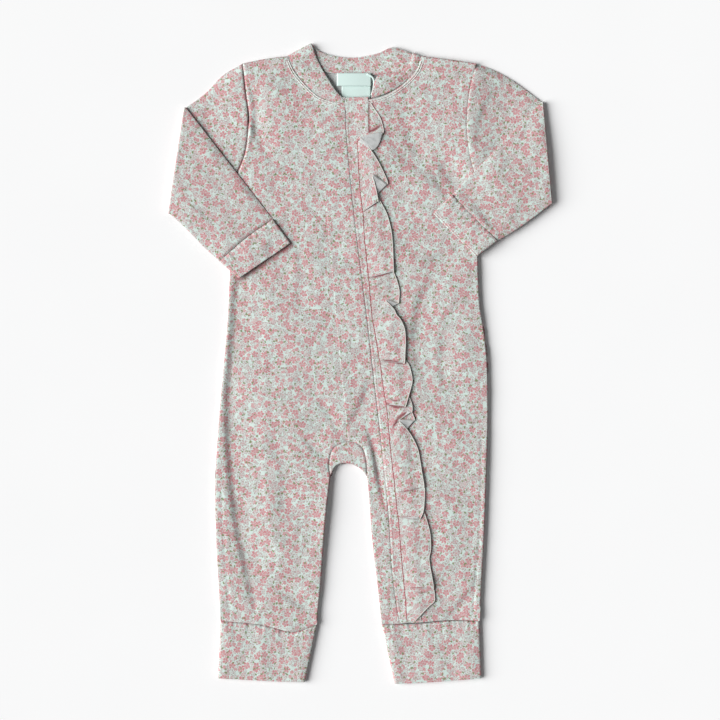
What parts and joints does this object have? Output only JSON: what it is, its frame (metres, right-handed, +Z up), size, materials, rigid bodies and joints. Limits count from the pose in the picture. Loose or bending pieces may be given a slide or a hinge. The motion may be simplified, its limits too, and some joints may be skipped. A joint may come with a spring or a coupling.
{
  "type": "footless baby coverall",
  "caption": "Long-sleeved baby coverall of printed cotton knit laid flat, with a ruffled front closure, round neckband and banded cuffs.",
  "frame": {"origin": "middle of the laid-out suit, on the surface that it lies on", "axes": "+X towards the wearer's left, +Y from the leg cuffs to the neck, +Z up, out of the front"},
  "size_m": [0.338, 0.5638, 0.0136],
  "materials": {
    "printed_knit": "fine cotton interlock knit, matt, dense small flower print in two pinks and olive on pale mint",
    "doubled_knit": "the same printed knit folded double, matt",
    "ruffle_knit": "the same printed knit in one gathered layer, its reverse unprinted and pale grey",
    "woven_tape": "pale woven closure tape, hidden",
    "label_ribbon": "smooth pale aqua ribbon, bare"
  },
  "bodies": {
    "root": {"back": "printed_knit", "right_front": "printed_knit", "left_front": "printed_knit", "gusset": "printed_knit", "placket": "printed_knit", "right_sleeve": "printed_knit", "left_sleeve": "printed_knit", "neckband": "doubled_knit", "right_sleeve_cuff": "doubled_knit", "left_sleeve_cuff": "doubled_knit", "right_leg_cuff": "doubled_knit", "left_leg_cuff": "doubled_knit", "ruffle": "ruffle_knit", "zip_tape": "woven_tape", "neck_label": "label_ribbon", "size_label": "label_ribbon"}
  },
  "joints": []
}
